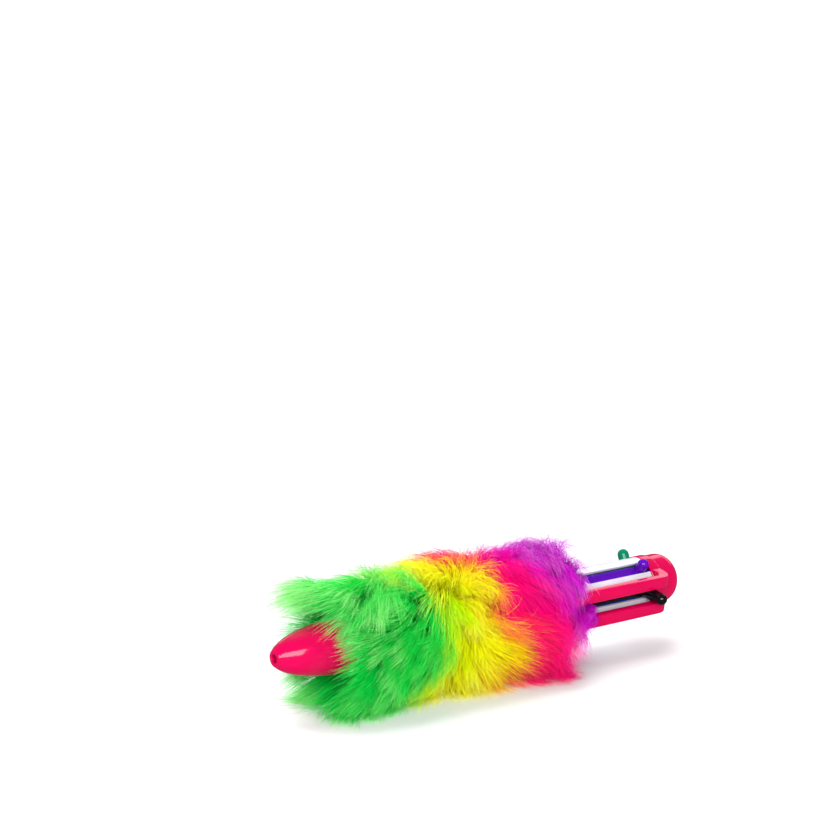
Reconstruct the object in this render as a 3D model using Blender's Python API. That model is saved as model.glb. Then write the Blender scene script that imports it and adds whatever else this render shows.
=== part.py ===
"""Six-colour click pen with a fur sleeve.

The pen lies along X with its nose at -X and its cap at +X. Z is up and the floor is z = 0.
Every piece hangs on the empty "pen_axis", which runs along the middle of the barrel. What belongs
to one colour hangs on that colour's own empty, which is rolled about X, so that in its frame
+Z points straight out of the barrel through that colour's slot.
"""

import math

import bmesh
import bpy
from mathutils import Matrix

MM = 0.001
GAP = 0.3 * MM

# whole pen
LENGTH = 154 * MM
AXIS_HEIGHT = 18 * MM
TAIL_X = LENGTH / 2
NOSE_X = -LENGTH / 2

# nose cone: half an ellipse in profile, with a blunt end around the hole
NOSE_BASE_X = -53.5 * MM
NOSE_RADIUS = 8.2 * MM
NOSE_REACH = 24.4 * MM
NOSE_WALL = 1.3 * MM
HOLE_RADIUS = 1.3 * MM
HOLE_DEPTH = 1.8 * MM
SOCKET_RADIUS = 7.2 * MM
SOCKET_DEPTH = 6.5 * MM

# barrel
BARREL_RADIUS = 8.3 * MM
BARREL_REAR_X = 62.3 * MM
FRONT_BORE = 6.3 * MM
REAR_BORE = 7.25 * MM
STEP_X = 11.7 * MM
SPIGOT_BORE = 5.4 * MM
NECK_RADIUS = 7.65 * MM
NECK_LENGTH = 4.2 * MM
SLOT_WIDTH = 4.2 * MM
SLOT_FRONT_X = 34.6 * MM

# cap
SKIRT_RADIUS = 8.4 * MM
SKIRT_X = BARREL_REAR_X + GAP
SKIRT_LENGTH = 3.8 * MM
DOME_RADIUS = 8.05 * MM
DOME_LENGTH = 6 * MM
CAP_FLOOR_X = 69.2 * MM
CAP_BORE = 7.3 * MM

# clip: two arms on the cap, one each side of the long lever, joined at their front end
ARM_OFFSET = 4.3 * MM
ARM_WIDTH = 3.8 * MM
ARM_LOW = 9.6 * MM
ARM_HIGH = 12.6 * MM
ARM_FRONT_X = 17 * MM
ARM_REAR_X = 66.8 * MM
ARM_ROOT = 3.7 * MM
BEND_OUTER = 5 * MM
BEND_INNER = 1.6 * MM
ARM_END_ROUND = 1.6 * MM
BRIDGE = 3.5 * MM

# core, the post that keeps the six sliders apart
CORE_RADIUS = 2.9 * MM
CORE_FRONT_X = 40 * MM
FLANGE_RADIUS = 6.9 * MM
FLANGE_X = 67.6 * MM
BOSS_LENGTH = 2.4 * MM

# sliders
TRAVEL = 10.5 * MM
SLIDER_FRONT_X = 35.6 * MM
SLIDER_REAR_X = FLANGE_X - GAP
SLIDER_LOW = 3.6 * MM
SLIDER_HIGH = 6.7 * MM
SLIDER_WIDTH = 3.7 * MM
WING_WIDTH = 4.8 * MM
WING_LOW = 4.8 * MM
WING_HIGH = 5.6 * MM
PEG_X = 59.7 * MM
PEG_RADIUS = 1.85 * MM
PEG_FOOT_RADIUS = 1.8 * MM
PEG_RISE = 9.6 * MM
LEVER_FOOT_RADIUS = 2.05 * MM
LEVER_RISE = 14.8 * MM

# refills and springs
REFILL_RADIUS = 1.15 * MM
REFILL_BORE = 0.8 * MM
REFILL_RISE = 4.6 * MM
PIVOT_X = 34.7 * MM
TIP_X = -69.2 * MM
TIP_RISE = 2.8 * MM
TUBE_FRONT_X = -64 * MM
TILT = math.atan2(REFILL_RISE - TIP_RISE, PIVOT_X - TIP_X)
NIB_RADIUS = 0.5 * MM
NIB_LENGTH = 2.3 * MM
GUIDE_X = 12 * MM
GUIDE_THICK = 2 * MM
GUIDE_HOLE = 1.5 * MM
COIL_RADIUS = 1.65 * MM
WIRE_RADIUS = 0.18 * MM
COIL_TURNS = 8
COIL_STEPS = 10

# fur sleeve: a knitted backing round the barrel, and the pile that stands on it
SLEEVE_FRONT_X = -52 * MM
SLEEVE_REAR_X = 33 * MM
BACKING_THICK = 0.6 * MM
PILE_RADIUS = 21 * MM
PILE_END_RADIUS = 14 * MM
PILE_OVERHANG = 2 * MM
PILE_ROUNDING = 9 * MM

# each colour's roll about the barrel, in degrees, with its base colour
STATIONS = {
    "green": (-22, (0.0, 0.19, 0.08)),
    "purple": (38, (0.06, 0.004, 0.32)),
    "black": (98, (0.01, 0.01, 0.012)),
    "blue": (158, (0.01, 0.06, 0.55)),
    "orange": (218, (0.9, 0.16, 0.01)),
    "red": (278, (0.85, 0.03, 0.01)),
}
PINK = (0.87, 0.0, 0.1)
WHITE = (0.82, 0.82, 0.88)
STEEL = (0.6, 0.6, 0.58)


def material(name, color, roughness, metallic=0.0):
    made = bpy.data.materials.get(name) or bpy.data.materials.new(name)
    made.use_nodes = True
    shader = made.node_tree.nodes["Principled BSDF"]
    shader.inputs["Base Color"].default_value = (*color, 1)
    shader.inputs["Roughness"].default_value = roughness
    shader.inputs["Metallic"].default_value = metallic
    return made


def empty(name, parent, location=(0, 0, 0), rotation=(0, 0, 0)):
    made = bpy.data.objects.new(name, None)
    bpy.context.scene.collection.objects.link(made)
    made.parent = parent
    made.location = location
    made.rotation_euler = rotation
    return made


def place(name, data, parent, finish=None):
    made = bpy.data.objects.new(name, data)
    bpy.context.scene.collection.objects.link(made)
    made.parent = parent
    if finish:
        data.materials.clear()
        data.materials.append(finish)
    return made


def finished(bm, name):
    """A mesh from bm, faces out, with round faces shaded smooth."""
    bmesh.ops.remove_doubles(bm, verts=bm.verts, dist=1e-7)
    bmesh.ops.recalc_face_normals(bm, faces=bm.faces)
    mesh = bpy.data.meshes.new(name)
    bm.to_mesh(mesh)
    bm.free()
    mesh.shade_smooth()
    mesh.set_sharp_from_angle(angle=math.radians(35))
    return mesh


def turned(name, outline, segments, hollow=True):
    """Turn an outline of (x, radius) points about X. A hollow piece's outline is a closed loop,
    and a solid piece's runs from the axis to the axis."""
    bm = bmesh.new()
    verts = [bm.verts.new((x, 0, r)) for x, r in outline]
    pairs = list(zip(verts, verts[1:]))
    if hollow:
        pairs.append((verts[-1], verts[0]))
    edges = [bm.edges.new(pair) for pair in pairs]
    bmesh.ops.spin(
        bm,
        geom=verts + edges,
        cent=(0, 0, 0),
        axis=(1, 0, 0),
        angle=math.tau,
        steps=segments,
        use_merge=True,
    )
    return finished(bm, name)


def prism(name, outline, direction):
    """Push a flat outline of 3-D points along a direction."""
    bm = bmesh.new()
    face = bm.faces.new([bm.verts.new(point) for point in outline])
    pushed = bmesh.ops.extrude_face_region(bm, geom=[face])
    moved = [g for g in pushed["geom"] if isinstance(g, bmesh.types.BMVert)]
    bmesh.ops.translate(bm, verts=moved, vec=direction)
    return finished(bm, name)


def block(name, low, high):
    (x0, y0, z0), (x1, y1, z1) = low, high
    outline = [(x0, y0, z0), (x1, y0, z0), (x1, y0, z1), (x0, y0, z1)]
    return prism(name, outline, (0, y1 - y0, 0))


def peg(name, x, foot, foot_radius, top, radius):
    """A tapering peg that stands straight out of the barrel at x, with a round end."""
    end = arc((top, 0), (radius, radius), 90, 0, 4)
    mesh = turned(name, [(foot, 0), (foot, foot_radius), *end[:-1], (top + radius, 0)], 14, hollow=False)
    stand_up = Matrix.Rotation(-math.pi / 2, 4, "Y")
    mesh.transform(Matrix.Translation((x, 0, 0)) @ stand_up)
    return mesh


def combine(target, mesh, parent, operation):
    """Join a mesh to the target, or cut it away, with a Boolean and a hidden guide."""
    guide = place(f"{mesh.name}_guide", mesh, parent)
    guide.hide_render = True
    guide.display_type = "WIRE"
    modifier = target.modifiers.new(mesh.name, "BOOLEAN")
    modifier.operation = operation
    modifier.solver = "EXACT"
    modifier.object = guide


def arc(center, radii, start, stop, steps):
    """Points (x, z) along part of an ellipse, with angles in degrees."""
    turn = [math.radians(start + (stop - start) * i / steps) for i in range(steps + 1)]
    return [(center[0] + radii[0] * math.cos(a), center[1] + radii[1] * math.sin(a)) for a in turn]


def make_nose(axis):
    lip_x = NOSE_X + 0.4 * MM
    full = math.degrees(math.asin((NOSE_BASE_X - lip_x) / NOSE_REACH))
    outer = arc((NOSE_BASE_X, 0), (-NOSE_REACH, NOSE_RADIUS), 90, 90 - full, 9)
    throat = math.degrees(math.asin((NOSE_BASE_X - NOSE_X - HOLE_DEPTH) / NOSE_REACH))
    mouth = math.degrees(math.asin(SOCKET_DEPTH / NOSE_REACH))
    inner = [
        (x, r - NOSE_WALL)
        for x, r in arc((NOSE_BASE_X, 0), (-NOSE_REACH, NOSE_RADIUS), 90 - throat, 90 - mouth, 6)
    ]
    outline = [
        *outer,
        (NOSE_X, outer[-1][1] - 0.5 * MM),
        (NOSE_X, HOLE_RADIUS),
        (NOSE_X + HOLE_DEPTH, HOLE_RADIUS),
        *inner,
        (NOSE_BASE_X - SOCKET_DEPTH, SOCKET_RADIUS),
        (NOSE_BASE_X, SOCKET_RADIUS),
    ]
    place("nose_cone", turned("nose_cone", outline, 36), axis, material("nose", PINK, 0.18))


def make_barrel(axis, stations):
    front_x = NOSE_BASE_X + GAP
    spigot_x = NOSE_BASE_X - SOCKET_DEPTH + GAP
    outline = [
        (spigot_x, SOCKET_RADIUS - GAP),
        (front_x, SOCKET_RADIUS - GAP),
        (front_x, BARREL_RADIUS),
        (BARREL_REAR_X, BARREL_RADIUS),
        (BARREL_REAR_X, NECK_RADIUS),
        (BARREL_REAR_X + NECK_LENGTH, NECK_RADIUS),
        (BARREL_REAR_X + NECK_LENGTH, REAR_BORE),
        (STEP_X, REAR_BORE),
        (STEP_X, FRONT_BORE),
        (front_x + 2 * MM, FRONT_BORE),
        (front_x, SPIGOT_BORE),
        (spigot_x, SPIGOT_BORE),
    ]
    finish = material("barrel", WHITE, 0.22)
    barrel = place("main_barrel", turned("main_barrel", outline, 48), axis, finish)
    half = SLOT_WIDTH / 2
    past_end = BARREL_REAR_X + 2 * NECK_LENGTH
    rounded = arc((SLOT_FRONT_X + half, 0), (half, half), 90, 270, 6)
    for color, station in stations.items():
        plan = [(past_end, half), *rounded, (past_end, -half)]
        slot = prism(f"slot_{color}", [(x, y, 5 * MM) for x, y in plan], (0, 0, 5 * MM))
        combine(barrel, slot, station, "DIFFERENCE")


def make_cap(axis, clip_station):
    step_x = SKIRT_X + SKIRT_LENGTH
    dome_x = TAIL_X - DOME_LENGTH
    dome = arc((dome_x, 0), (DOME_LENGTH, DOME_RADIUS), 90, 0, 7)
    outline = [
        (SKIRT_X, 0),
        (SKIRT_X, SKIRT_RADIUS),
        (step_x, SKIRT_RADIUS),
        (step_x + 0.4 * MM, DOME_RADIUS),
        *dome[:-1],
        (TAIL_X, 0),
    ]
    finish = material("cap", PINK, 0.18)
    cap = place("cap_and_clip", turned("cap", outline, 40, hollow=False), axis, finish)

    root_x = ARM_REAR_X - ARM_ROOT
    inside = SKIRT_RADIUS / 2
    end = ARM_END_ROUND
    side = [
        *arc((root_x - BEND_INNER, ARM_LOW - BEND_INNER), (BEND_INNER, BEND_INNER), 90, 0, 3),
        (root_x, inside),
        (ARM_REAR_X, inside),
        *arc((ARM_REAR_X - BEND_OUTER, ARM_HIGH - BEND_OUTER), (BEND_OUTER, BEND_OUTER), 0, 90, 5),
        *arc((ARM_FRONT_X + end, ARM_HIGH - end), (end, end), 90, 180, 3),
        (ARM_FRONT_X, ARM_LOW),
    ]
    for name, sign in (("arm_left", -1), ("arm_right", 1)):
        near = sign * ARM_OFFSET - ARM_WIDTH / 2
        arm = prism(name, [(x, near, z) for x, z in side], (0, ARM_WIDTH, 0))
        combine(cap, arm, clip_station, "UNION")
    inset = 0.2 * MM
    low = (ARM_FRONT_X + inset, -ARM_OFFSET, ARM_LOW + inset)
    high = (ARM_FRONT_X + BRIDGE, ARM_OFFSET, ARM_HIGH - end)
    combine(cap, block("clip_bridge", low, high), clip_station, "UNION")

    neck_room = NECK_RADIUS + GAP
    neck_end = BARREL_REAR_X + NECK_LENGTH + GAP
    boss_room = CORE_RADIUS + GAP
    boss_end = CAP_FLOOR_X + BOSS_LENGTH + GAP
    hollow = [
        (SKIRT_X - 1 * MM, 0),
        (SKIRT_X - 1 * MM, neck_room),
        (neck_end, neck_room),
        (neck_end, CAP_BORE),
        (CAP_FLOOR_X, CAP_BORE),
        (CAP_FLOOR_X, boss_room),
        (boss_end, boss_room),
        (boss_end, 0),
    ]
    combine(cap, turned("cap_hollow", hollow, 36, hollow=False), axis, "DIFFERENCE")


def make_core(axis):
    flange_rear = CAP_FLOOR_X - GAP
    outline = [
        (CORE_FRONT_X, 0),
        (CORE_FRONT_X, CORE_RADIUS - 0.8 * MM),
        (CORE_FRONT_X + 0.8 * MM, CORE_RADIUS),
        (FLANGE_X, CORE_RADIUS),
        (FLANGE_X, FLANGE_RADIUS),
        (flange_rear, FLANGE_RADIUS),
        (flange_rear, CORE_RADIUS),
        (CAP_FLOOR_X + BOSS_LENGTH, CORE_RADIUS),
        (CAP_FLOOR_X + BOSS_LENGTH, 0),
    ]
    mesh = turned("slider_core", outline, 24, hollow=False)
    place("slider_core", mesh, axis, material("core", WHITE, 0.4))


def refill_rise(x):
    """How far a resting refill's middle is from the pen's axis at x."""
    return REFILL_RISE - (PIVOT_X - x) * math.tan(TILT)


def make_spring_guide(axis, stations):
    outline = [
        (GUIDE_X, 0),
        (GUIDE_X, REAR_BORE - GAP),
        (GUIDE_X + GUIDE_THICK, REAR_BORE - GAP),
        (GUIDE_X + GUIDE_THICK, 0),
    ]
    mesh = turned("spring_guide", outline, 36, hollow=False)
    guide = place("spring_guide", mesh, axis, material("guide", WHITE, 0.4))
    hole = [
        (GUIDE_X - GUIDE_THICK, 0),
        (GUIDE_X - GUIDE_THICK, GUIDE_HOLE),
        (GUIDE_X + 2 * GUIDE_THICK, GUIDE_HOLE),
        (GUIDE_X + 2 * GUIDE_THICK, 0),
    ]
    for color, station in stations.items():
        drill = turned(f"drill_{color}", hole, 14, hollow=False)
        drill.transform(Matrix.Translation((0, 0, refill_rise(GUIDE_X + GUIDE_THICK / 2))))
        combine(guide, drill, station, "DIFFERENCE")


def make_slider(color, station, tint):
    """A bar under its slot, wings that hold it in, a nib for its refill, and a peg to push.
    The black one's peg is long, because it stands out between the clip's arms."""
    half, wing = SLIDER_WIDTH / 2, WING_WIDTH / 2
    section = [
        (-half, SLIDER_LOW),
        (half, SLIDER_LOW),
        (wing, WING_LOW),
        (wing, WING_HIGH),
        (half, WING_HIGH + GAP),
        (half, SLIDER_HIGH),
        (-half, SLIDER_HIGH),
        (-half, WING_HIGH + GAP),
        (-wing, WING_HIGH),
        (-wing, WING_LOW),
    ]
    outline = [(SLIDER_FRONT_X, y, z) for y, z in section]
    bar = prism(f"bar_{color}", outline, (SLIDER_REAR_X - SLIDER_FRONT_X, 0, 0))
    slider = place(f"slider_{color}", bar, station, material(f"slider_{color}", tint, 0.2))

    nib = [
        (SLIDER_FRONT_X - NIB_LENGTH, 0),
        (SLIDER_FRONT_X - NIB_LENGTH, NIB_RADIUS),
        (SLIDER_FRONT_X + NIB_LENGTH, NIB_RADIUS),
        (SLIDER_FRONT_X + NIB_LENGTH, 0),
    ]
    nib_mesh = turned(f"nib_{color}", nib, 8, hollow=False)
    nib_mesh.transform(Matrix.Translation((0, 0, REFILL_RISE)))
    combine(slider, nib_mesh, station, "UNION")

    long = color == "black"
    rise, foot_radius = (LEVER_RISE, LEVER_FOOT_RADIUS) if long else (PEG_RISE, PEG_FOOT_RADIUS)
    foot = (SLIDER_LOW + SLIDER_HIGH) / 2
    knob = peg(f"peg_{color}", PEG_X, foot, foot_radius, rise, PEG_RADIUS)
    combine(slider, knob, station, "UNION")


def make_refill(color, station, tint):
    """A plastic tube with a metal tip. Both hang on the pivot where the slider's nib holds them."""
    pivot = empty(f"refill_pivot_{color}", station, (PIVOT_X, 0, REFILL_RISE), (0, -TILT, 0))
    rear = SLIDER_FRONT_X - GAP - PIVOT_X
    front = TUBE_FRONT_X - PIVOT_X
    tip = TIP_X - PIVOT_X
    tube = [(rear, REFILL_BORE), (rear, REFILL_RADIUS), (front, REFILL_RADIUS), (front, REFILL_BORE)]
    tube_mesh = turned(f"refill_tube_{color}", tube, 12)
    place(f"refill_tube_{color}", tube_mesh, pivot, material(f"refill_{color}", tint, 0.3))
    shank = REFILL_BORE - GAP
    point = [
        (front + 3 * MM, 0),
        (front + 3 * MM, shank),
        (front - GAP, shank),
        (front - GAP, REFILL_RADIUS),
        (tip + 2.8 * MM, REFILL_RADIUS),
        (tip + 1.1 * MM, 0.6 * MM),
        (tip, 0.35 * MM),
        (tip, 0),
    ]
    tip_mesh = turned(f"refill_tip_{color}", point, 12, hollow=False)
    place(f"refill_tip_{color}", tip_mesh, pivot, material("tip", STEEL, 0.25, 1.0))
    return pivot


def make_spring(color, pivot):
    """A coil round the refill, from the guide to the front of the slider."""
    start = GUIDE_X + GUIDE_THICK + GAP + WIRE_RADIUS - PIVOT_X
    stop = SLIDER_FRONT_X - GAP - WIRE_RADIUS - PIVOT_X
    count = COIL_TURNS * COIL_STEPS + 1
    curve = bpy.data.curves.new(f"return_spring_{color}", "CURVE")
    curve.dimensions = "3D"
    curve.bevel_depth = WIRE_RADIUS
    curve.bevel_resolution = 0
    curve.use_fill_caps = True
    spline = curve.splines.new("POLY")
    spline.points.add(count - 1)
    for i, point in enumerate(spline.points):
        turn = math.tau * i / COIL_STEPS
        x = start + (stop - start) * i / (count - 1)
        point.co = (x, COIL_RADIUS * math.sin(turn), COIL_RADIUS * math.cos(turn), 1)
    place(f"return_spring_{color}", curve, pivot, material("spring", STEEL, 0.3, 1.0))


def make_sleeve(axis, clip_station):
    inner = BARREL_RADIUS + GAP
    outer = inner + BACKING_THICK
    backing = [
        (SLEEVE_FRONT_X, inner),
        (SLEEVE_FRONT_X, outer),
        (SLEEVE_REAR_X, outer),
        (SLEEVE_REAR_X, inner),
    ]
    finish = material("backing", (0.3, 0.02, 0.12), 0.9)
    place("fur_backing", turned("fur_backing", backing, 36), axis, finish)

    front_x = SLEEVE_FRONT_X - PILE_OVERHANG
    rear_x = SLEEVE_REAR_X + PILE_OVERHANG
    bulge = (PILE_ROUNDING, PILE_RADIUS - PILE_END_RADIUS)
    front = arc((front_x + PILE_ROUNDING, PILE_END_RADIUS), bulge, 180, 90, 4)
    rear = arc((rear_x - PILE_ROUNDING, PILE_END_RADIUS), bulge, 90, 0, 4)
    outline = [(front_x, outer + GAP), *front, *rear, (rear_x, outer + GAP)]
    finish = material("pile", (0.75, 0.05, 0.2), 0.9)
    pile = place("fur_pile", turned("fur_pile", outline, 40), axis, finish)

    # the pile is pressed flat by the pen's weight, and parted where the clip lies in it
    wide = 2 * PILE_RADIUS
    under = block("floor", (-LENGTH, -wide, -AXIS_HEIGHT - wide), (LENGTH, wide, -AXIS_HEIGHT))
    combine(pile, under, axis, "DIFFERENCE")
    side = ARM_OFFSET + ARM_WIDTH / 2 + 2 * GAP
    low = (ARM_FRONT_X - 2 * GAP, -side, BARREL_RADIUS)
    high = (TAIL_X, side, wide)
    combine(pile, block("parting", low, high), clip_station, "DIFFERENCE")


def main():
    for old in list(bpy.data.objects):
        bpy.data.objects.remove(old)
    axis = empty("pen_axis", None, (0, 0, AXIS_HEIGHT))
    stations = {
        color: empty(f"station_{color}", axis, rotation=(math.radians(roll), 0, 0))
        for color, (roll, _) in STATIONS.items()
    }
    make_nose(axis)
    make_barrel(axis, stations)
    make_cap(axis, stations["black"])
    make_core(axis)
    make_spring_guide(axis, stations)
    for color, (_, tint) in STATIONS.items():
        make_slider(color, stations[color], tint)
        pivot = make_refill(color, stations[color], tint)
        make_spring(color, pivot)
    make_sleeve(axis, stations["black"])


main()
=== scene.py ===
"""Looks of the six-colour click pen: smooth plastics, springs and refills, and its rainbow fur sleeve."""

import math

import bmesh
import bpy
import numpy as np
from mathutils import Matrix, Vector


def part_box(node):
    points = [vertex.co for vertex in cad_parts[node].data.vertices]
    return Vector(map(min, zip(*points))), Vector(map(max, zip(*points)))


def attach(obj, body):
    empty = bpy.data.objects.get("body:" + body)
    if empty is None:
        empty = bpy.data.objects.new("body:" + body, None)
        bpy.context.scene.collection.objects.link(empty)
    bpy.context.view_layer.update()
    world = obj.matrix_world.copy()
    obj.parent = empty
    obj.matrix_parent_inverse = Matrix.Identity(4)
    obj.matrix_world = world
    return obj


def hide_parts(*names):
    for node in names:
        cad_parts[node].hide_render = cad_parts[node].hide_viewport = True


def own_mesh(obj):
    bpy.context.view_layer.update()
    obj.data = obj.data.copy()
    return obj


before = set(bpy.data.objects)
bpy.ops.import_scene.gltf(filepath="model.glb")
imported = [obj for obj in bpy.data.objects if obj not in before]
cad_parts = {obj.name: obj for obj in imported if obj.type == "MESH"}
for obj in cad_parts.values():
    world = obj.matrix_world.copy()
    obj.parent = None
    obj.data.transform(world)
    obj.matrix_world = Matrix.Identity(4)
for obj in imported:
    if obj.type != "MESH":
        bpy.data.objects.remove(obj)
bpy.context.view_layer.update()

MM = 0.001
GAP = 0.3 * MM

# ------------------------------------------------------------------ sizes read from the frame
barrel_low, barrel_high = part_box("main_barrel")
nose_low, nose_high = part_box("nose_cone")
cap_low, cap_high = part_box("cap_and_clip")
backing_low, backing_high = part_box("fur_backing")
guide_low, guide_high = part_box("spring_guide")
slider_low, slider_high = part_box("slider_black")

AXIS_Z = (barrel_low.z + barrel_high.z) / 2
AXIS = Vector((0, 0, AXIS_Z))
BARREL_RADIUS = (barrel_high.y - barrel_low.y) / 2
BARREL_FRONT_X = nose_high.x + GAP
NOSE_RADIUS = (nose_high.y - nose_low.y) / 2
TAIL_X = cap_high.x
SLEEVE_FRONT_X, SLEEVE_REAR_X = backing_low.x, backing_high.x
BACKING_RADIUS = (backing_high.y - backing_low.y) / 2

# each colour's roll about the barrel, in degrees from straight up towards the clip's side
ROLLS = {"green": -22, "purple": 38, "black": 98, "blue": 158, "orange": 218, "red": 278}
PLASTICS = {
    "green": (0.0, 0.17, 0.085),
    "purple": (0.075, 0.002, 0.32),
    "black": (0.003, 0.003, 0.004),
    "blue": (0.01, 0.05, 0.5),
    "orange": (0.9, 0.16, 0.0),
    "red": (0.9, 0.03, 0.0),
}
PINK = (0.48, 0.0, 0.056)


# ------------------------------------------------------------------ materials
class Shader:
    """A material with a Principled node, and short calls for the nodes that feed it."""

    def __init__(self, name, roughness=0.3, metallic=0.0, **values):
        self.material = bpy.data.materials.new(name)
        self.material.use_nodes = True
        self.tree = self.material.node_tree
        self.main = self.tree.nodes["Principled BSDF"]
        self.main.inputs["Roughness"].default_value = roughness
        self.main.inputs["Metallic"].default_value = metallic
        for socket, value in values.items():
            self.main.inputs[socket.replace("_", " ")].default_value = value

    def node(self, kind, inputs=None, **settings):
        made = self.tree.nodes.new(f"ShaderNode{kind}")
        for key, value in settings.items():
            setattr(made, key, value)
        for key, value in (inputs or {}).items():
            if isinstance(value, bpy.types.NodeSocket):
                self.tree.links.new(value, made.inputs[key])
            else:
                made.inputs[key].default_value = value
        return made

    def feed(self, socket, source):
        self.tree.links.new(source, self.main.inputs[socket])

    def object_coords(self):
        return self.node("TexCoord").outputs["Object"]

    def noise(self, vector, scale, detail=2.0, roughness=0.5):
        values = {"Vector": vector, "Scale": scale, "Detail": detail, "Roughness": roughness}
        return self.node("TexNoise", values).outputs["Fac"]

    def ranged(self, value, low, high, from_low=0.0, from_high=1.0):
        values = {0: value, 1: from_low, 2: from_high, 3: low, 4: high}
        return self.node("MapRange", values).outputs[0]

    def ramp(self, value, stops):
        made = self.node("ValToRGB", {"Fac": value})
        elements = made.color_ramp.elements
        while len(elements) < len(stops):
            elements.new(1.0)
        for element, (place, color) in zip(elements, stops):
            element.position = place
            element.color = (*color, 1)
        return made.outputs["Color"]

    def bump(self, height, distance, strength=1.0):
        values = {"Height": height, "Distance": distance, "Strength": strength}
        return self.node("Bump", values).outputs["Normal"]


def scaled(color, by):
    """A colour made lighter or darker."""
    return tuple(min(1.0, c * by) for c in color)


def plastic(name, color, roughness=0.11):
    """Moulded gloss plastic: faint flow marks in its colour, and fine handling marks in its gloss."""
    made = Shader(name, roughness, IOR=1.49, Specular_IOR_Level=0.3)
    coords = made.object_coords()
    flow = made.noise(coords, 160.0, 3.0)
    made.feed("Base Color", made.ramp(flow, [(0.3, scaled(color, 0.93)), (0.7, scaled(color, 1.05))]))
    stretched = made.node("Mapping", {"Vector": coords, "Scale": (0.25, 1.0, 1.0)}).outputs[0]
    marks = made.noise(stretched, 2600.0, 4.0, 0.65)
    made.feed("Roughness", made.ranged(marks, roughness * 0.8, roughness * 1.5, 0.35, 0.75))
    made.feed("Normal", made.bump(made.noise(coords, 420.0, 2.0), 0.012 * MM, 0.5))
    return made.material


def metal(name, color, roughness):
    """Drawn metal, with fine lines along the piece."""
    made = Shader(name, roughness, 1.0)
    coords = made.object_coords()
    along = made.node("Mapping", {"Vector": coords, "Scale": (0.08, 1.0, 1.0)}).outputs[0]
    lines = made.noise(along, 5000.0, 3.0)
    made.feed("Base Color", made.ramp(lines, [(0.3, scaled(color, 0.85)), (0.7, color)]))
    made.feed("Roughness", made.ranged(lines, roughness * 0.7, roughness * 1.6))
    return made.material


def knit(name, colors, start, stop):
    """Knitted ribs, dyed in bands along X like the pile that grows on them, and painted darker in their
    grooves as painted shade.
    """
    made = Shader(name, 0.85, Sheen_Weight=0.3)
    coords = made.object_coords()
    ribs = made.node("TexWave", {"Vector": coords, "Scale": 320.0, "Distortion": 1.5}, bands_direction="X")
    rows = made.node("TexWave", {"Vector": coords, "Scale": 420.0, "Distortion": 2.0}, bands_direction="Y")
    height = made.node("Math", {0: ribs.outputs["Fac"], 1: rows.outputs["Fac"]}, operation="MULTIPLY")
    # the low grooves of the knit are painted darker, as painted shade between its ribs and rows
    shade = made.ranged(height.outputs[0], 0.6, 1.0)
    tone = made.node("CombineXYZ", {"X": shade, "Y": shade, "Z": shade}).outputs[0]
    place = made.ranged(made.node("SeparateXYZ", {0: coords}).outputs["X"], 0.0, 1.0, start, stop)
    dyed_and_shaded = made.node("VectorMath", {0: made.ramp(place, colors), 1: tone}, operation="MULTIPLY")
    made.feed("Base Color", dyed_and_shaded.outputs[0])
    made.feed("Normal", made.bump(height.outputs[0], 0.15 * MM))
    return made.material


# ------------------------------------------------------------------ shapes
def arc(center, radii, start, stop, steps):
    """Points along part of an ellipse, with angles in degrees."""
    turn = [math.radians(start + (stop - start) * i / steps) for i in range(steps + 1)]
    return [(center[0] + radii[0] * math.cos(a), center[1] + radii[1] * math.sin(a)) for a in turn]


def rounded(corner, before, after, radius, steps=4):
    """A corner of an outline, rounded off between its neighbours."""
    c, b, a = Vector(corner), Vector(before), Vector(after)
    start, stop = c + (b - c).normalized() * radius, c + (a - c).normalized() * radius
    made = []
    for i in range(steps + 1):
        t = i / steps
        made.append(tuple(start * (1 - t) ** 2 + c * 2 * t * (1 - t) + stop * t * t))
    return made


def softened(outline, radius, sharp=()):
    """A closed outline with each corner rounded by radius, apart from the ones numbered in sharp."""
    made = []
    for i, point in enumerate(outline):
        if i in sharp:
            made.append(point)
        else:
            made += rounded(point, outline[i - 1], outline[(i + 1) % len(outline)], radius)
    return made


def finished(bm, name, angle=40):
    """A smooth mesh with its doubled points joined, and sharp at edges beyond angle."""
    bmesh.ops.remove_doubles(bm, verts=bm.verts, dist=1e-7)
    bmesh.ops.recalc_face_normals(bm, faces=bm.faces)
    mesh = bpy.data.meshes.new(name)
    bm.to_mesh(mesh)
    bm.free()
    mesh.shade_smooth()
    mesh.set_sharp_from_angle(angle=math.radians(angle))
    return mesh


def turned(name, outline, segments, hollow=True):
    """An outline of (x, radius) points turned about X. A hollow one closes back on its start."""
    bm = bmesh.new()
    verts = [bm.verts.new((x, 0, r)) for x, r in outline]
    pairs = list(zip(verts, verts[1:]))
    if hollow:
        pairs.append((verts[-1], verts[0]))
    edges = [bm.edges.new(pair) for pair in pairs]
    turn = {"cent": (0, 0, 0), "axis": (1, 0, 0), "angle": math.tau}
    bmesh.ops.spin(bm, geom=verts + edges, steps=segments, use_merge=True, **turn)
    return finished(bm, name)


def prism(name, outline, push):
    """A flat outline pushed out into a solid."""
    bm = bmesh.new()
    face = bm.faces.new([bm.verts.new(point) for point in outline])
    pushed = bmesh.ops.extrude_face_region(bm, geom=[face])
    moved = [g for g in pushed["geom"] if isinstance(g, bmesh.types.BMVert)]
    bmesh.ops.translate(bm, verts=moved, vec=push)
    return finished(bm, name)


END_TURNS = 0.35  # how much closer a coil's turns are at its ends


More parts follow.
